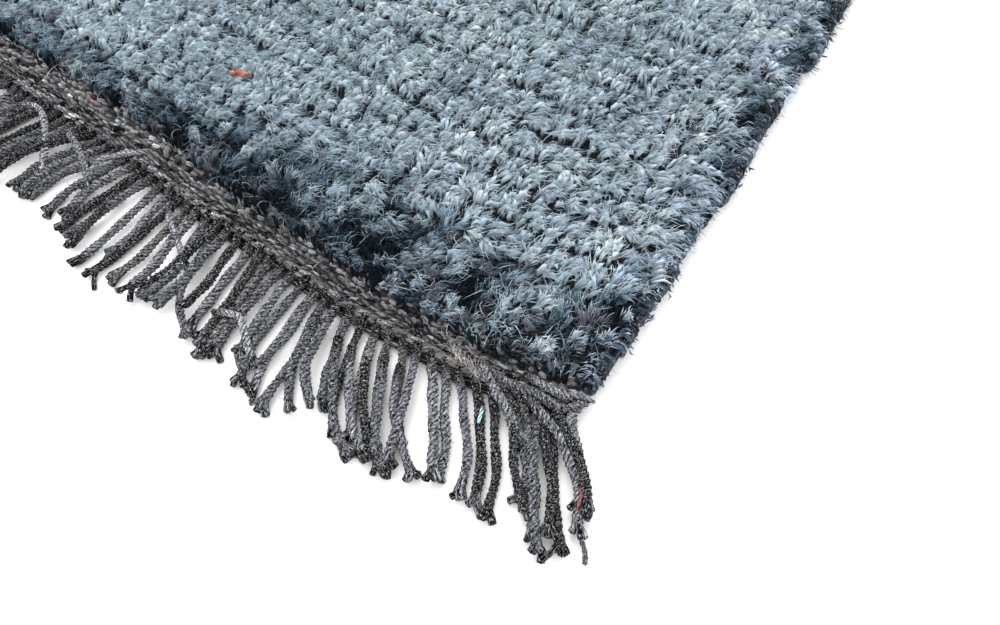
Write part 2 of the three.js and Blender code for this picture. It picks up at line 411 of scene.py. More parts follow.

# Tone and dye: the tone of each knot carries painted shade, darker along the ends and in the furrows, and
# its tint is the dye: blue-violet towards the sides, brown-grey along the ends, a little sage in the field,
# and one odd rust-coloured knot.
RUST_BUNCH = (0.022, -0.308)
FIELD_TONE = 4.12
# Painted shade, in tone steps: along the ends, in the furrows, in sunk patches and over the overhanging
# side.
END_DARKENS = 2.5
FURROW_DARKENS = 2.0
SINK_DARKENS = 1.0
SIDE_DARKENS = 2.9
EDGE_PATCHES = 1.6
END_SHADE_REACH = ((0, 62), (150, 74), (300, 34), (600, 34))
tone = FIELD_TONE + 0.5 * drift(knot_x, knot_y, 0.10, 7) + 0.6 * drift(knot_x, knot_y, 0.016, 8)
# Each bunch is darker towards its rim, where it dips: painted shade between the bunches.
tone = tone + chance.normal(0, 0.32, members.size)[bunch] - 0.35 * dome
from_near_corner = HALF_WIDTH - np.where(from_front < from_back, knot_x, -knot_x)
corner_share = fading(from_near_corner, 0, 0.12)
shade_reach = eased(END_SHADE_REACH, from_near_corner / MM) * MM
end_shade = fading(from_end, 0.010, shade_reach)
# Painted shade: darker along the ends, in the furrows and sunk patches, and on the pile that hangs over the
# side.
tone = tone - END_DARKENS * end_shade - FURROW_DARKENS * furrow - SINK_DARKENS * sink
tone = tone - SIDE_DARKENS * overhang
side_share = fading(from_side, 0, 0.070)
tone = tone + 0.15 * side_share
end_share = fading(from_end, 0.012, 0.035)
edge_zone = np.maximum(end_shade, fading(from_side, 0, 0.045))
tone = tone + chance.normal(0, EDGE_PATCHES, members.size)[bunch] * edge_zone
tint_roll = chance.uniform(0, 1, members.size)[bunch]
tint = np.full(total, -1)
tint[tint_roll < 0.07] = SAGE
tint[tint_roll > 0.95 - 0.45 * side_share] = LAVENDER
tint[tint_roll > 1.0 - 0.26 * fading(from_side, 0, 0.035)] = SKY
tint[(tint_roll > 0.30) & (tint_roll < 0.30 + (0.35 + 0.15 * corner_share) * end_share)] = DUN
rust_distance = np.hypot(knot_x - RUST_BUNCH[0], knot_y - RUST_BUNCH[1])
tint[bunch == bunch[np.argmin(rust_distance)]] = RUST
# The tone that a knot needs for its tint to show, by shade number.
TINT_FLOOR = np.array([0, 0, 0, 0, 0, 0, 0, 2.6, 2.2, 3.0, 0.0, -9.0])


def knot_shades(knots_now, level):
    """The chart column of each fibre: its knot's tint where that is strong enough, or else its tone."""
    tinted = tint[knots_now]
    takes = (tinted >= 0) & (chance.uniform(0, 1, knots_now.size) < 0.75) & (level > TINT_FLOOR[tinted])
    takes = takes | (tinted == RUST)
    return np.where(takes, tinted, np.clip(np.round(level), 0, PALEST_TONE)).astype(int)


def knot_locks(chosen, fine):
    """The two locks of each chosen knot, as closed fibres: bent twice where they are seen from near."""
    knots_now = np.repeat(chosen, 2)
    count = knots_now.size
    turn = heading[knots_now] + chance.normal(0, 0.36, count)
    way = np.stack([np.cos(turn), np.sin(turn), np.zeros(count)], axis=1)
    high = (rise[knots_now] * chance.uniform(0.85, 1.1, count))[:, None]
    far = (reach[knots_now] * chance.uniform(0.8, 1.2, count))[:, None]
    root = np.stack([knot_x[knots_now], knot_y[knots_now], np.full(count, ROOT_HEIGHT)], axis=1)
    root[:, :2] = root[:, :2] + chance.normal(0, 0.8, (count, 2)) * MM
    belly = root + UP * high * 0.76 + way * far * 0.12 + 0.6 * pull[knots_now]
    crown = root + UP * high * 0.98 + way * far * 0.48 + 0.9 * pull[knots_now]
    tip = root + UP * high * 0.88 + way * far * 0.88 + pull[knots_now]
    tip = tip + chance.normal(0, 0.7, (count, 3)) * MM - UP * high * 0.45 * overhang[knots_now][:, None]
    thick = LOCK_RADIUS * chance.uniform(0.8, 1.2, count)
    if fine:
        spines = np.stack([root, belly, crown, tip], axis=1)
        radii = np.stack([0.95 * thick, 1.05 * thick], axis=1)
    else:
        spines = np.stack([root, 0.35 * belly + 0.65 * crown, tip], axis=1)
        radii = (1.35 * thick)[:, None]
    # The locks, under the loose fibres, take extra painted shade along the ends and on the overhanging
    # side.
    level = tone[knots_now] - (2.4 * end_shade + 1.2 * overhang)[knots_now]
    shades = knot_shades(knots_now, level + chance.normal(0, 0.25, count))
    return spin_fibres(spines, radii, chart_cells(shades, count, len(PILE_SHADES)))


NEAR_LINE = ((-0.141, -0.342), (0.304, -0.042))
NEAR_FADE = 0.024
FIBRES_NEAR = 14
FIBRES_FAR = 0.1
FIBRE_RADIUS = 0.00019
HAIR_RADIUS = 0.00013
LONG_HAIRS = 900


def nearness(x, y):
    """1 over the corner that is seen from near, falling to 0 past the far side of that corner."""
    (start_x, start_y), (stop_x, stop_y) = NEAR_LINE
    length = math.hypot(stop_x - start_x, stop_y - start_y)
    past = ((stop_x - start_x) * (y - start_y) - (stop_y - start_y) * (x - start_x)) / length
    part = np.clip(past / NEAR_FADE, 0, 1)
    return 1 - part * part * (3 - 2 * part)


def knot_fibres(chosen):
    """Loose fine fibres that spring out of each chosen knot's locks."""
    wanted = FIBRES_FAR + (FIBRES_NEAR - FIBRES_FAR) * nearness(knot_x[chosen], knot_y[chosen])
    wanted = np.floor(wanted + chance.uniform(0, 1, chosen.size)).astype(int)
    knots_now = np.repeat(chosen, wanted)
    count = knots_now.size
    turn = heading[knots_now] + chance.normal(0, 0.42, count)
    way = np.stack([np.cos(turn), np.sin(turn), np.zeros(count)], axis=1)
    high = rise[knots_now][:, None] * chance.uniform(0.85, 1.10, count)[:, None]
    far = reach[knots_now][:, None] * chance.uniform(0.6, 1.2, count)[:, None]
    root = np.stack([knot_x[knots_now], knot_y[knots_now], np.full(count, ROOT_HEIGHT)], axis=1)
    root[:, :2] = root[:, :2] + chance.normal(0, 1.2, (count, 2)) * MM
    start = root + UP * high * 0.90 + way * far * 0.10 + 0.7 * pull[knots_now]
    bend = root + UP * high * 1.06 + way * far * 0.55 + 0.9 * pull[knots_now]
    bend = bend + chance.normal(0, 0.6, (count, 3)) * MM
    tip = root + UP * high * 0.94 + way * far * 1.12 + pull[knots_now]
    tip = tip + chance.normal(0, 1.0, (count, 3)) * MM - UP * high * 0.45 * overhang[knots_now][:, None]
    spines = np.stack([start, bend, tip], axis=1)
    radii = (FIBRE_RADIUS * chance.uniform(0.7, 1.3, count))[:, None]
    # The loose fibres on top are lighter than the locks, painted light that is strongest near the near
    # corner, and they take little of the painted end shade.
    level = (tone + 0.2 + end_shade * (1.8 * corner_share - 0.3))[knots_now]
    shades = knot_shades(knots_now, level + chance.normal(0, 0.20, count))
    return spin_fibres(spines, radii, chart_cells(shades, count, len(PILE_SHADES), start=0.4))


def long_hairs(wanted):
    """Long fine hairs that have worked loose and lie over the pile where it is seen from near."""
    open_knots = np.flatnonzero(nearness(knot_x, knot_y) > 0.6)
    knots_now = chance.choice(open_knots, wanted)
    turn = chance.uniform(0, 2 * math.pi, wanted)[:, None]
    turn = turn + chance.normal(0, 0.5, (wanted, 1)) * np.arange(5)
    step = chance.uniform(2.0, 4.2, wanted)[:, None] * MM
    x = knot_x[knots_now][:, None] + np.cumsum(np.cos(turn) * step, axis=1)
    y = knot_y[knots_now][:, None] + np.cumsum(np.sin(turn) * step, axis=1)
    crest = ROOT_HEIGHT + rise[knots_now][:, None] + 0.001
    arch = np.array([[-3.0, 0.3, 1.0, 0.6, -2.0]]) * chance.uniform(0.5, 1.5, (wanted, 1)) * MM
    spines = np.stack([x, y, crest + arch], axis=2)
    radii = np.full((wanted, 3), HAIR_RADIUS)
    shades = np.clip(np.round(tone[knots_now] + 1.3), 3, PALEST_TONE).astype(int)
    return spin_fibres(spines, radii, chart_cells(shades, wanted, len(PILE_SHADES)))


# The pile fibres get painted shade towards their roots, deep in the pile.
pile_wool = wool_chart("pile_wool_fibres", PILE_SHADES, strands=5, run=1, contrast=(0.94, 1.06),
                       root_shading=(0.14, 1.10, 0.10, 0.70))
PILE_BANDS = 4
NEAR_ENOUGH = 0.5
PLAIN_KNOT_FACES = 12
FINE_KNOT_FACES = 24
FIBRE_FACES = 6
near_knots = nearness(knot_x, knot_y)
weight = np.where(near_knots > NEAR_ENOUGH, FINE_KNOT_FACES, PLAIN_KNOT_FACES)
weight = weight + FIBRE_FACES * (FIBRES_FAR + (FIBRES_NEAR - FIBRES_FAR) * near_knots)
knot_band = np.minimum(np.cumsum(weight) * PILE_BANDS / weight.sum(), PILE_BANDS - 1).astype(int)
for band in range(PILE_BANDS):
    fine = np.flatnonzero((knot_band == band) & (near_knots > NEAR_ENOUGH))
    plain = np.flatnonzero((knot_band == band) & (near_knots <= NEAR_ENOUGH))
    parts = [knot_locks(fine, True), knot_locks(plain, False), knot_fibres(np.concatenate([fine, plain]))]
    if band == 0:
        parts.append(long_hairs(LONG_HAIRS))
    piece = join_pieces(f"pile_band_{band + 1}", parts, pile_wool)
    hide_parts("rug_body")

# Bare weave
# At each end a few rows of plain weft are left without knots: thick dark wool beaten down over the
# warp, so that every float shows as a small bead. A pale or red hair was spun in here and there.
BEAD_PITCH = 0.0046
BEAD_ROW = 0.0029
BEAD_ROWS = 5
BEAD_RADIUS = 0.00125
BEAD_TOP = 0.0042
BEAD_HAIRS = 2200
BEAD_HAIR_LENGTH = 0.0024
WEAVE_SHADES = (
    ("ash", (0.300, 0.295, 0.300)),
    ("smoke", (0.200, 0.196, 0.200)),
    ("slate_weft", (0.165, 0.190, 0.208)),
    ("umber", (0.210, 0.186, 0.186)),
    ("soot", (0.012, 0.013, 0.015)),
    ("white_hair", (0.720, 0.720, 0.700)),
    ("red_hair", (0.075, 0.012, 0.018)),
)
WHITE_HAIR, RED_HAIR = 5, 6
# About a fifth of the beads are soot, a near-black weft that also stands in for painted shade in the holes
# between the beads.
WEAVE_MIX = (0.28, 0.26, 0.12, 0.12, 0.22)
WHITE_BEADS = ((-56, -378), (-68, -377), (-48, -371), (-5, -369), (17, -364), (26, -369))
RED_BEAD = (-33, -361)
ENDS = (("front", 1), ("back", -1))
NEAR_END = "front"


def turned(part, facing):
    """The shapes as they are at the front end, or half round for the back one."""
    points, faces, marks = part
    return points * np.array([facing, facing, 1]), faces, marks


def loose_hairs(part, count, length, shades, shade_total, radius=HAIR_RADIUS):
    """Short fine hairs, or thicker wisps, that stand away from a yarn at chance places."""
    roots = part[0][chance.integers(0, len(part[0]), count)]
    way = unit(0.5 * UP + chance.normal(0, 0.6, (count, 3)))
    bend = unit(way + chance.normal(0, 0.6, (count, 3)))
    long = length * chance.uniform(0.4, 1.5, count)[:, None]
    knee = roots + 0.5 * long * way
    spines = np.stack([roots - 0.2 * MM * way, knee, knee + 0.5 * long * bend], axis=1)
    spines[..., 2] = np.maximum(spines[..., 2], radius)
    return spin_fibres(spines, np.full((count, 1), radius), chart_cells(shades, count, shade_total))


def woven_beads():
    """The floats of the plain weft, row behind row, each a short fat yarn that dips at both ends."""
    columns = int(2 * field_half / BEAD_PITCH)
    number, row = np.meshgrid(np.arange(columns), np.arange(BEAD_ROWS))
    number, row = number.ravel(), row.ravel()
    count = number.size
    x = -field_half + (number + 0.5 * (row % 2) + 0.25) * BEAD_PITCH + chance.normal(0, 0.6, count) * MM
    inset = BRAID_WIDTH + SEAM + (row + 0.3) * BEAD_ROW + chance.normal(0, 0.2, count) * MM
    y = front_line(x, inset)
    shares = np.array([-1, -0.55, 0.55, 1])
    half = BEAD_PITCH * chance.uniform(0.44, 0.58, count)[:, None]
    slant = chance.normal(0.0, 0.30, count)[:, None]
    top = BEAD_TOP + chance.normal(0, 0.55, count)[:, None] * MM
    spines = np.stack([x[:, None] + half * shares, y[:, None] + half * slant * shares,
                       top - BEAD_RADIUS * (0.4 + 1.1 * shares ** 4)], axis=2)
    radii = BEAD_RADIUS * chance.uniform(0.75, 1.2, (count, 1)) * np.ones((1, 2))
    shades = chance.choice(len(WEAVE_MIX), count, p=WEAVE_MIX)
    for shade, spot in [(WHITE_HAIR, spot) for spot in WHITE_BEADS] + [(RED_HAIR, RED_BEAD)]:
        shades[np.argmin(np.hypot(x - spot[0] * MM, y - spot[1] * MM))] = shade
    return spin_fibres(spines, radii, chart_cells(shades, count, len(WEAVE_SHADES)), sides=6, hint=UP)


weave_wool = wool_chart("weave_wool", WEAVE_SHADES, strands=7, run=1.5, contrast=(0.35, 1.7), fleck=0.04)
beads = woven_beads()
bead_shades = chance.integers(0, 4, BEAD_HAIRS)
bead_hairs = loose_hairs(beads, BEAD_HAIRS, BEAD_HAIR_LENGTH, bead_shades, len(WEAVE_SHADES))
for end, facing in ENDS:
    parts = [beads, bead_hairs] if end == NEAR_END else [beads]
    piece = join_pieces(f"bare_weave_{end}", [turned(part, facing) for part in parts], weave_wool)
    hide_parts("rug_body")

# Overcast sides
# Each side has a stout cord, overcast with pile yarn that is wound round it turn by turn in uneven
# bundles, darker and bluer than the pile that hangs over it.
SIDE_CORD_HEIGHT = 0.0118
WRAP_PITCH = 0.0024
WRAP_RADIUS = 0.00135
WRAP_STEPS = 9
BUNDLE_PITCH = 0.023
SIDE_LENGTH = 0.7235
SIDE_SHADES = (
    ("midnight", (0.011, 0.014, 0.020)),
    ("deep_blue", (0.028, 0.037, 0.050)),
    ("dusk", (0.062, 0.083, 0.112)),
    ("haze", (0.150, 0.190, 0.240)),
    ("pale_lilac", (0.340, 0.395, 0.480)),
)


def overcast_turns(side):
    """Turns of yarn round the side cord, one closed yarn for each turn, drawn together in bundles."""
    count = int(SIDE_LENGTH / WRAP_PITCH)
    y = -SIDE_LENGTH / 2 + (np.arange(count) + 0.5) * WRAP_PITCH
    bundle = np.floor(y / BUNDLE_PITCH + 0.45 * drift(y, 0 * y, 0.050, 30 + side)).astype(int)
    bundle = bundle - bundle.min()
    middle = (np.bincount(bundle, y) / np.maximum(np.bincount(bundle), 1))[bundle]
    y = y + 0.22 * (middle - y) + chance.normal(0, 0.6, count) * MM
    swell = chance.uniform(0.80, 1.14, bundle.max() + 1)[bundle] + chance.normal(0, 0.07, count)
    push = chance.uniform(-1.6, 3.4, bundle.max() + 1)[bundle] * MM
    angles = np.linspace(-0.30, 2 * math.pi + 0.30, WRAP_STEPS + 2)
    half_wide = (0.5 * SIDE_CORD_WIDTH - WRAP_RADIUS) * swell
    half_high = (0.5 * SIDE_CORD_HEIGHT - WRAP_RADIUS) * swell
    tilt = (WRAP_PITCH * (0.5 + 1.1 * drift(y, 0 * y, 0.010, 32 + side)))[:, None]
    x = HALF_WIDTH - 0.5 * SIDE_CORD_WIDTH + push[:, None] + half_wide[:, None] * np.cos(angles)
    z = 1.2 * WRAP_RADIUS + half_high[:, None] * (1 + np.sin(angles))
    spines = np.stack([side * x, y[:, None] + tilt * np.sin(angles), z], axis=2)
    if side < 0:
        spines = spines[:, ::-1]
    radii = WRAP_RADIUS * chance.uniform(0.7, 1.15, (count, 1)) * np.ones((1, WRAP_STEPS))
    level = chance.normal(1.7, 0.5, bundle.max() + 1)[bundle] + chance.normal(0, 0.6, count)
    shades = np.clip(np.round(level), 0, 3).astype(int)
    cells = chart_cells(shades, count, len(SIDE_SHADES))
    return spin_fibres(spines, radii, cells, sides=5, hint=np.array([0.0, 1.0, 0.0]))


def side_core(side, height):
    """The cord inside the turns, dark where it shows between them."""
    y = np.linspace(-0.5, 0.5, 62) * (SIDE_LENGTH - 2 * WRAP_RADIUS)
    x = np.full(y.size, side * (HALF_WIDTH - 0.5 * SIDE_CORD_WIDTH))
    spine = np.stack([x, y, np.full(y.size, height)], axis=1)[None]
    radii = np.full((1, y.size - 2), 0.5 * SIDE_CORD_WIDTH - WRAP_RADIUS)
    return spin_fibres(spine, radii, chart_cells(np.zeros(1, int), 1, len(SIDE_SHADES)), sides=6, hint=UP)


side_wool = wool_chart("overcast_wool_yarn", SIDE_SHADES, strands=7, run=9, contrast=(0.25, 2.0),
                       spread=0.12, fleck=0.05)
SIDE_HAIRS = {"right": 1400, "left": 100}
SIDE_WISPS = {"right": 2600, "left": 500}
WISP_MIX = (0, 0, 1, 2, 3, 3, 4)
SIDE_HAIR_LENGTH = 0.0024
WISP_LENGTH = 0.0036
WISP_RADIUS = 0.00055
side_total = len(SIDE_SHADES)
for side_name, side in (("right", 1), ("left", -1)):
    turns = overcast_turns(side)
    count = SIDE_HAIRS[side_name]
    hairs = loose_hairs(turns, count, SIDE_HAIR_LENGTH, chance.integers(1, 5, count), side_total)
    count = SIDE_WISPS[side_name]
    wisp_shades = chance.choice(WISP_MIX, count)
    wisps = loose_hairs(turns, count, WISP_LENGTH, wisp_shades, side_total, WISP_RADIUS)
    cores = [side_core(side, share * SIDE_CORD_HEIGHT) for share in (0.34, 0.62)]
    piece = join_pieces(f"overcast_side_{side_name}", [turns, hairs, wisps] + cores, side_wool)
    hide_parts(f"selvedge_{side_name}")

# End braids
# The last weft is locked by twined charcoal yarn: two rows of short slanted stitches over a dark core,
# worked along the whole end, so that the pile and the weave can't slide off the warp.
STITCH_ROWS = (
    # pitch, length, radius, inset from the outer edge, height of the middle, slant
    (0.0054, 0.0088, 0.00158, 0.0062, 0.0057, 0.34),
    (0.0052, 0.0088, 0.00165, 0.0027, 0.0054, 0.40),
)
CORE_RADIUS = 0.0026
CORE_INSET = 0.0045
BRAID_SHADES = (
    ("ash_yarn", (0.190, 0.190, 0.190)),
    ("pewter", (0.110, 0.112, 0.116)),
    ("olive_grey", (0.105, 0.108, 0.102)),
    ("brown_grey", (0.110, 0.100, 0.098)),
    ("soot_yarn", (0.010, 0.011, 0.013)),
    ("pale_hair", (0.330, 0.330, 0.335)),
)


def end_stitches(pitch, length, radius, inset, height, slant, mix, shade_total):
    """A row of short fat yarns along the end, each slanted so that its inner end is tucked under."""
    count = int(2 * HALF_WIDTH / pitch)
    x = -HALF_WIDTH + (np.arange(count) + 0.5) * pitch + chance.normal(0, 0.7, count) * MM
    x = np.clip(x, -HALF_WIDTH + 0.5 * length, HALF_WIDTH - 0.4 * length)
    y = front_line(x, inset) + chance.normal(0, 0.45, count) * MM
    slope = (front_line(x + MM) - front_line(x - MM)) / (2 * MM)
    turn = np.arctan(slope) + slant + chance.normal(0, 0.16, count)
    shares = np.array([-1.0, -0.75, -0.25, 0.25, 0.75, 1.0])
    half = 0.5 * length * chance.uniform(0.80, 1.2, count)[:, None]
    lift = height + chance.normal(0, 0.5, count)[:, None] * MM
    dip = lift - 0.9 * radius * (shares ** 2) - 0.5 * radius * shares
    spines = np.stack([x[:, None] + half * np.cos(turn)[:, None] * shares,
                       y[:, None] + half * np.sin(turn)[:, None] * shares,
                       np.maximum(dip, 0.4 * radius)], axis=2)
    radii = radius * chance.uniform(0.78, 1.18, (count, 1)) * np.array([[0.74, 1.0, 1.0, 0.74]])
    shades = chance.choice(len(mix), count, p=mix)
    cells = chart_cells(shades, count, shade_total)
    return spin_fibres(spines, radii, cells, sides=8, lay=0.012, groove=0.84, hint=UP)


def end_core(inset, height, radius, shade, shade_total):
    """A dark strand along the end: the braid's core that the stitches are worked over, and, at the fringe,
    a black band under the loops that stands for the dark warp knots and for painted shadow.
    """
    x = np.linspace(-HALF_WIDTH + 0.002, HALF_WIDTH - 0.002, 122)
    spine = np.stack([x, front_line(x, inset), np.full(x.size, height)], axis=1)[None]
    radii = np.full((1, x.size - 2), radius)
    cells = chart_cells(np.array([shade]), 1, shade_total)
    return spin_fibres(spine, radii, cells, sides=6, hint=UP)


# The stitches get painted shade towards the end that is tucked under.
braid_yarn = wool_chart("braid_yarn_twist", BRAID_SHADES, strands=9, run=3, contrast=(0.35, 1.8),
                        spread=0.16, plies=2, fleck=0.04, root_shading=(0.08, 1.0, 0.02, 0.34))
BRAID_MIX = (0.30, 0.30, 0.12, 0.16, 0.12)
BRAID_SOOT = 4
BRAID_HAIRS = 1500
BRAID_HAIR_LENGTH = 0.0030
BRAID_HAIR_MIX = (0, 1, 3, 5)
braid_total = len(BRAID_SHADES)
braid_rows = [end_stitches(*row, BRAID_MIX, braid_total) for row in STITCH_ROWS]
# The core is near-black soot yarn, which gives painted shade where it shows between the stitches.
braid_rows.append(end_core(CORE_INSET, CORE_RADIUS + FLOOR_GAP, CORE_RADIUS, BRAID_SOOT, braid_total))
braid_hairs = []
for row in braid_rows[:2]:
    hair_shades = chance.choice(BRAID_HAIR_MIX, BRAID_HAIRS)
    braid_hairs.append(loose_hairs(row, BRAID_HAIRS, BRAID_HAIR_LENGTH, hair_shades, braid_total))
for end, facing in ENDS:
    parts = braid_rows + braid_hairs if end == NEAR_END else braid_rows
    piece = join_pieces(f"twined_braid_{end}", [turned(part, facing) for part in parts], braid_yarn)
    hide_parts(f"end_braid_{end}")

# Cord fringes
# The warp ends leave the braid through a row of slanted loops and are plied into cords of heathered
# charcoal yarn. They lie on the floor in small bunches, and each opens into its plies at the cut end.
CORD_RADIUS = 0.0024
CORD_PITCH = 0.0075
CORD_LENGTH = 0.051
CORD_LENGTH_SPREAD = 0.009
CORD_LEAN_SPREAD = 4
CORD_BOW = 0.005
BOW_SPAN = 170
CORD_TWIST = 0.0105
CORD_PLIES = 4
CORD_STEPS = 46
NEAR_CORDS = (CORD_STEPS, 4)
FAR_CORDS = (22, 3)
CORD_SOLID = 0.90
CORDS = 78
LOOP_ROW_WIDTH = 0.0045
ROOT_LIFT = 0.0016
ROOT_FALL = 0.006
CROSSING_LIFT = 0.0038
CORD_CAP = 0.0008
PLY_CAP = 0.0005
PLY_GROOVE = 0.82
PLY_CHART_START = 0.88
CORD_CROSSERS = 0.30
DARK_ENDS = 0.70
CORD_LAY = ((0, 44), (30, 38), (60, 31), (125, 28), (150, 9), (190, 9), (230, 3), (265, -7), (300, -18),
            (420, -12), (600, -4))
CORD_COURSE = ((0, 0), (0.3, 0.6), (0.65, 1), (1, 0.2))
CORD_SHADES = (
    ("charcoal_heather", (0.054, 0.058, 0.068)),
    ("grey_heather", (0.092, 0.096, 0.109)),
    ("violet_heather", (0.076, 0.073, 0.093)),
    ("brown_heather", (0.080, 0.076, 0.077)),
    ("black_heather", (0.006, 0.007, 0.009)),
    ("pale_hair", (0.330, 0.335, 0.350)),
    ("pale_heather", (0.150, 0.153, 0.170)),
    ("tan_hair", (0.300, 0.265, 0.240)),
    ("red_fleck", (0.150, 0.034, 0.045)),
    ("mint_fleck", (0.240, 0.400, 0.400)),
)
CHARCOAL, GREY, BLACK, PALE_HAIR, TAN_HAIR = 0, 1, 4, 5, 7
CORD_MIX = (0.32, 0.20, 0.14, 0.10, 0.24)


def vary(cord, habit):
    """A fixed chance value from 0 to 1 for one habit of one cord."""
    value = np.sin(cord * 12.9898 + habit * 78.233) * 43758.5453
    return value - np.floor(value)


def capped(routes, reach):
    """Routes with one more point at each end, so that a yarn closes in a blunt cap."""
    head = routes[:, :1] - unit(routes[:, 1:2] - routes[:, :1]) * reach
    tail = routes[:, -1:] + unit(routes[:, -1:] - routes[:, -2:-1]) * reach
    return np.concatenate([head, routes, tail], axis=1)


def cord_routes(steps):
    """Where each cord lies, from under the braid to its cut end."""
    cord = np.arange(CORDS)
    root_x = (cord - (CORDS - 1) / 2) * CORD_PITCH
    from_corner = (HALF_WIDTH - root_x) / MM
    stray = (vary(cord, 1) - 0.5) * 2 * CORD_LEAN_SPREAD
    lean = np.radians(eased(CORD_LAY, from_corner) + stray)
    length = CORD_LENGTH + (vary(cord, 2) - 0.5) * 2 * CORD_LENGTH_SPREAD
    bow = CORD_BOW * np.sin(2 * math.pi * from_corner / BOW_SPAN)
    bunch = np.floor(np.cumsum(0.28 + 0.22 * chance.uniform(0, 1, CORDS))).astype(int)
    middle = (np.bincount(bunch, root_x) / np.maximum(np.bincount(bunch), 1))[bunch]
    gather = (middle - root_x) * chance.uniform(0.15, 0.60, CORDS)
    share = np.linspace(0, CORD_SOLID, steps)[None]
    over = (chance.uniform(0, 1, CORDS) < CORD_CROSSERS)[:, None]
    lean = lean + np.radians(chance.normal(0, 7, CORDS)) * over[:, 0]
    waves = chance.uniform(0.6, 1.3, (CORDS, 1))
    wave = np.sin(2 * math.pi * (share * waves + chance.uniform(0, 1, (CORDS, 1))))
    sideways = bow[:, None] * eased(CORD_COURSE, share) + gather[:, None] * share ** 1.5
    sideways = sideways + chance.uniform(0.3, 1.6, (CORDS, 1)) * MM * wave * share
    forward = share * length[:, None] - 0.004 * (1 - share)
    x = root_x[:, None] + np.sin(lean)[:, None] * forward + np.cos(lean)[:, None] * sideways
    y = front_line(root_x, -SEAM - LOOP_ROW_WIDTH)[:, None]
    y = y - np.cos(lean)[:, None] * forward + np.sin(lean)[:, None] * sideways
    hump = chance.uniform(0, 1, (CORDS, 1)) ** 2 * 2.2 * MM * np.sin(math.pi * share) ** 2
    crossing = over * CROSSING_LIFT * np.sin(math.pi * share * 0.9) ** 0.7
    z = CORD_RADIUS + ROOT_LIFT * np.exp(-forward / ROOT_FALL) + hump + crossing
    return np.stack([x, y, z], axis=2)


def cut_plies(routes, per_cord, shades):
    """The plies into which each cord opens at its end, like a short brush."""
    count = len(routes) * per_cord
    end = np.repeat(routes[:, -1], per_cord, axis=0)
    forward = np.repeat(unit(routes[:, -1] - routes[:, -5]), per_cord, axis=0)
    forward[:, 2] = 0
    across = np.cross(UP, forward)
    round_cord = np.tile(np.arange(per_cord) * 2 * math.pi / per_cord, len(routes))
    round_cord = round_cord + chance.uniform(0, 1, count)
    fan = np.cos(round_cord)[:, None]
    lift = np.sin(round_cord)[:, None]
    brush = np.repeat(chance.uniform(0.0, 0.55, len(routes)), per_cord)[:, None]
    spread = brush * fan + chance.normal(0, 0.16, count)[:, None]
    length = chance.uniform(2.0, 6.5, count)[:, None] * MM
    curl = chance.normal(0, 0.35, count)[:, None]
    thick = chance.uniform(1.0, 1.6, count)[:, None] * MM
    stages = []
    for share in np.linspace(-0.6, 1, 6):
        opened = max(share, 0)
        spot = end + forward * length * share + across * length * (spread * opened + curl * opened ** 2)
        spot = spot + (across * fan + UP * lift) * 1.0 * MM
        spot = spot + UP * opened * (0.22 * length * lift - 0.3 * MM)
        spot[:, 2] = np.maximum(spot[:, 2], thick[:, 0])
        stages.append(spot)
    plies = capped(np.stack(stages, axis=1), PLY_CAP)
    radii = thick * np.array([[0.8, 0.9, 0.95, 1.05, 1.2, 1.2]])
    dark = chance.uniform(0, 1, count) < DARK_ENDS
    shades = np.where(dark, chance.choice((CHARCOAL, BLACK, BLACK), count), np.repeat(shades, per_cord))
    cells = chart_cells(shades, count, len(CORD_SHADES), start=PLY_CHART_START)
    return spin_fibres(plies, radii, cells, sides=6, hint=UP)


def plied_cords(routes, shades, thick):
    """Cords of plied yarn along the given routes."""
    count, steps = routes.shape[:2]
    swells = chance.uniform(2, 4, (count, 1)) * np.linspace(0, 1, steps)
    swell = np.sin(2 * math.pi * (swells + chance.uniform(0, 1, (count, 1))))
    radii = thick * chance.uniform(0.92, 1.10, (count, 1)) * (1 + 0.10 * swell)
    cells = chart_cells(shades, count, len(CORD_SHADES))
    return spin_fibres(capped(routes, CORD_CAP), radii, cells, sides=2 * CORD_PLIES, lay=CORD_TWIST,
                       groove=PLY_GROOVE, hint=UP)


def cord_parts(steps, plies):
    """All the cords of one end, with the plies that they open into."""
    routes = cord_routes(steps)
    shades = chance.choice(len(CORD_MIX), CORDS, p=CORD_MIX)
    return [plied_cords(routes, shades, CORD_RADIUS), cut_plies(routes, plies, shades)]
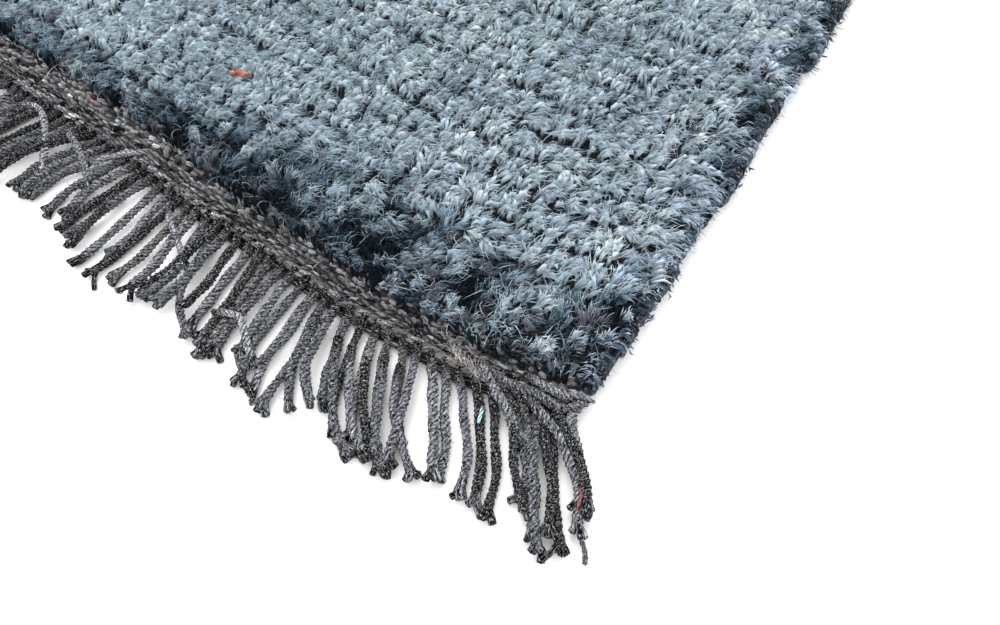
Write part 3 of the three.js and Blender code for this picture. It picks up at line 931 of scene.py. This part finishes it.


# Strays: cords that hang out of line at the front end, by given points in millimetres, and the two
# ropes of the braid that stand apart at the near corner.
STRAYS = (
    # shade number, radius in millimetres, plies at the cut end, points
    (6, 1.6, 0, ((32, -368, 6), (24, -377, 7), (14, -388, 8), (11, -393, 7), (11, -399, 5))),
    (6, 2.0, 6, ((-60, -399, 4), (-60, -389, 6), (-53, -385, 7), (-44, -387, 7), (-34, -393, 7),
                 (-22, -402, 6), (-14, -412, 4))),
    (1, 1.9, 6, ((-22, -383, 4), (-19, -389, 7), (-10, -391, 7), (1, -396, 7), (9, -400, 6),
                 (16, -405, 4))),
    (6, 1.9, 6, ((66, -393, 6), (72, -398, 7), (79, -402, 7), (90, -407, 6), (97, -412, 5))),
    (0, 2.3, 6, ((175, -399, 4), (177, -411, 5), (178, -424, 3), (179, -437, 3), (180, -442, 3))),
    (0, 2.0, 4, ((164, -386, 4), (165, -397, 7), (169, -414, 6), (167, -423, 5), (166, -430, 4),
                 (164, -435, 4), (159, -437, 3), (156, -433, 3))),
    (6, 1.9, 5, ((131, -424, 6), (138, -421, 8), (144, -419, 8), (150, -423, 7), (157, -428, 5),
                 (162, -431, 4))),
    (1, 1.8, 4, ((-60, -390, 6), (-65, -395, 7), (-68, -402, 6), (-68, -409, 5))),
    (1, 2.5, 5, ((272, -375, 4), (279, -380, 7), (287, -382, 8), (295, -385, 7), (305, -392, 6),
                 (313, -398, 5), (320, -411, 4))),
    (1, 2.3, 6, ((293, -368, 4), (296, -376, 7), (299, -380, 7), (305, -386, 6), (311, -393, 5),
                 (316, -402, 4))),
    (4, 2.2, 6, ((272, -382, 4), (279, -395, 5), (287, -407, 5), (298, -417, 4))),
    (4, 2.1, 6, ((289, -380, 4), (297, -391, 3), (305, -404, 3), (318, -421, 3))),
    (0, 2.2, 6, ((281, -378, 3), (290, -396, 7), (299, -412, 6), (311, -427, 4))),
    (0, 2.4, 0, ((250, -376, 5), (260, -378, 7), (271, -377, 7), (280, -374, 7), (289, -376, 7),
                 (294, -371, 6), (297, -365, 5))),
    (1, 2.2, 0, ((268, -369, 5), (276, -370, 8), (285, -370, 8), (290, -368, 7), (294, -364, 6))),
    (1, 2.3, 6, ((246, -373, 4), (252, -378, 7), (263, -384, 8), (272, -388, 6), (280, -394, 4))),
    (0, 2.2, 5, ((187, -401, 4), (201, -421, 6), (215, -436, 4), (223, -439, 3))),
    (1, 2.2, 5, ((195, -401, 4), (209, -419, 7), (222, -432, 6), (231, -436, 4))),
    (4, 2.1, 5, ((203, -399, 4), (215, -417, 6), (228, -430, 5), (237, -435, 3))),
    (0, 2.2, 5, ((211, -397, 4), (223, -415, 7), (232, -430, 6), (241, -436, 4))),
    (2, 2.1, 5, ((219, -396, 4), (229, -414, 6), (241, -424, 5), (252, -431, 3))),
    (4, 2.1, 5, ((34, -399, 4), (39, -418, 6), (41, -433, 4))),
    (0, 2.1, 5, ((97, -392, 4), (105, -414, 7), (112, -429, 6), (126, -438, 4))),
    (4, 2.1, 5, ((125, -392, 4), (133, -412, 6), (134, -426, 5), (138, -438, 3))),
    (0, 1.1, 0, ((315, -402, 4), (320, -409, 3), (324, -415, 2), (328, -418, 2), (330, -422, 2))),
)
FLECKS = (
    # shade number, radius in millimetres, points: odd bits of dyed wool spun into a cord
    (8, 0.8, ((314, -398, 7), (316, -402, 7), (317, -407, 6))),
    (9, 0.9, ((262, -393, 7), (263, -396, 7), (264, -399, 6))),
    (9, 0.8, ((96, -409, 7), (97, -411, 7), (98, -413, 6))),
)
FUZZ_ROUTE = ((230, -375, 6), (238, -379, 7), (246, -380, 7), (252, -382, 7))
FUZZ_HAIRS = 220
FUZZ_RADIUS = 0.0012
FUZZ_LENGTH = 0.0060
FUZZ_HAIR_RADIUS = 0.00018


def stray_route(points):
    """An even smooth route through a few points."""
    line = np.array(points, float) * MM
    for turn in range(3):
        early = 0.75 * line[:-1] + 0.25 * line[1:]
        late = 0.25 * line[:-1] + 0.75 * line[1:]
        line = np.concatenate([line[:1], np.stack([early, late], axis=1).reshape(-1, 3), line[-1:]])
    run = np.concatenate([[0], np.cumsum(np.linalg.norm(np.diff(line, axis=0), axis=1))])
    places = np.linspace(0, run[-1], CORD_STEPS)
    return np.stack([np.interp(places, run, line[:, axis]) for axis in range(3)], axis=1)[None]


CORD_HAIRS = 2600
CORD_HAIR_LENGTH = 0.0026
# Black bands under the loops and the cord roots: the dark warp knots there, and painted shadow under the
# braid.
KNOT_SHADE_BANDS = (-0.0034, -0.0062)
KNOT_SHADE_HEIGHT = 0.0016
KNOT_SHADE_RADIUS = 0.0015
# The cords get painted shadow near their roots, under the braid and the loops.
cord_yarn = wool_chart("fringe_cord_yarn", CORD_SHADES, strands=13, run=38, contrast=(0.05, 2.8),
                       spread=0.11, plies=CORD_PLIES, fleck=0.15, root_shading=(0.01, 1.0, 0.09, 0.30))
LOOP_ROW = (0.0095, 0.0104, 0.0018, -0.0014, 0.0060, 0.44)
LOOP_MIX = (0.02, 0.24, 0.06, 0.08, 0.0, 0.14, 0.46)
cord_total = len(CORD_SHADES)
for end, facing in ENDS:
    parts = cord_parts(*NEAR_CORDS) if end == NEAR_END else cord_parts(*FAR_CORDS)
    parts.append(end_stitches(*LOOP_ROW, LOOP_MIX, cord_total))
    # Black bands of dark knots and painted shadow under the loops.
    for inset in KNOT_SHADE_BANDS:
        parts.append(end_core(inset, KNOT_SHADE_HEIGHT, KNOT_SHADE_RADIUS, BLACK, cord_total))
    if end == NEAR_END:
        for shade, thick, plies, points in STRAYS:
            route = stray_route(points)
            parts.append(plied_cords(route, np.array([shade]), thick * MM))
            if plies:
                parts.append(cut_plies(route, plies, np.array([shade])))
        for shade, thick, points in FLECKS:
            parts.append(plied_cords(stray_route(points), np.array([shade]), thick * MM))
        fuzz = plied_cords(stray_route(FUZZ_ROUTE), np.array([TAN_HAIR]), FUZZ_RADIUS)
        fuzz_shades = chance.choice((PALE_HAIR, TAN_HAIR), FUZZ_HAIRS)
        parts.append(fuzz)
        parts.append(loose_hairs(fuzz, FUZZ_HAIRS, FUZZ_LENGTH, fuzz_shades, cord_total, FUZZ_HAIR_RADIUS))
        hair_shades = chance.choice((CHARCOAL, GREY, PALE_HAIR), CORD_HAIRS)
        parts.append(loose_hairs(parts[0], CORD_HAIRS, CORD_HAIR_LENGTH, hair_shades, cord_total))
    parts = [turned(part, facing) for part in parts]
    piece = join_pieces(f"cord_fringe_{end}", parts, cord_yarn)
    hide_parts(f"fringe_{end}")

# Floor, light and camera
# A plain white floor under soft daylight, seen from above the near corner.
PHOTO_WIDTH = 1000
SENSOR_WIDTH = 36
FOCAL_PIXELS = 640
CAMERA_PITCH = math.radians(60.25)
CAMERA_TURN = math.radians(34.0)
CAMERA_PLACE = (0.3243, -0.4721, 0.2645)
FLOOR_SIZE = 8
SKY_STRENGTH = 1.6
SUN_STRENGTH = 2.4
SUN_SOFTNESS = math.radians(36)
SUN_HEIGHT = math.radians(48)
SUN_TURN = CAMERA_TURN + math.radians(180 + 8)
bpy.ops.mesh.primitive_plane_add(size=FLOOR_SIZE, location=(0, 0, -FLOOR_GAP))
floor = bpy.context.object
floor.name = "floor"
floor_white, nodes, links, shader = stage_nodes("floor_white")
shader.inputs["Base Color"].default_value = (0.92, 0.92, 0.92, 1)
shader.inputs["Roughness"].default_value = 0.9
floor.data.materials.append(floor_white)

world = bpy.data.worlds.new("daylight")
world.use_nodes = True
world.node_tree.nodes["Background"].inputs["Color"].default_value = (1, 1, 1, 1)
world.node_tree.nodes["Background"].inputs["Strength"].default_value = SKY_STRENGTH
bpy.context.scene.world = world
sun_data = bpy.data.lights.new("window_light", "SUN")
sun_data.energy = SUN_STRENGTH
sun_data.angle = SUN_SOFTNESS
window = bpy.data.objects.new("window_light", sun_data)
window.rotation_euler = (SUN_HEIGHT, 0, SUN_TURN)
bpy.context.collection.objects.link(window)

camera_data = bpy.data.cameras.new("camera")
camera_data.sensor_width = SENSOR_WIDTH
camera_data.lens = FOCAL_PIXELS / PHOTO_WIDTH * SENSOR_WIDTH
camera_data.clip_start = 0.01
camera = bpy.data.objects.new("camera", camera_data)
camera.location = CAMERA_PLACE
camera.rotation_euler = (math.pi / 2 - CAMERA_PITCH, 0, CAMERA_TURN)
bpy.context.collection.objects.link(camera)
bpy.context.scene.camera = camera
bpy.context.scene.view_settings.view_transform = "Standard"
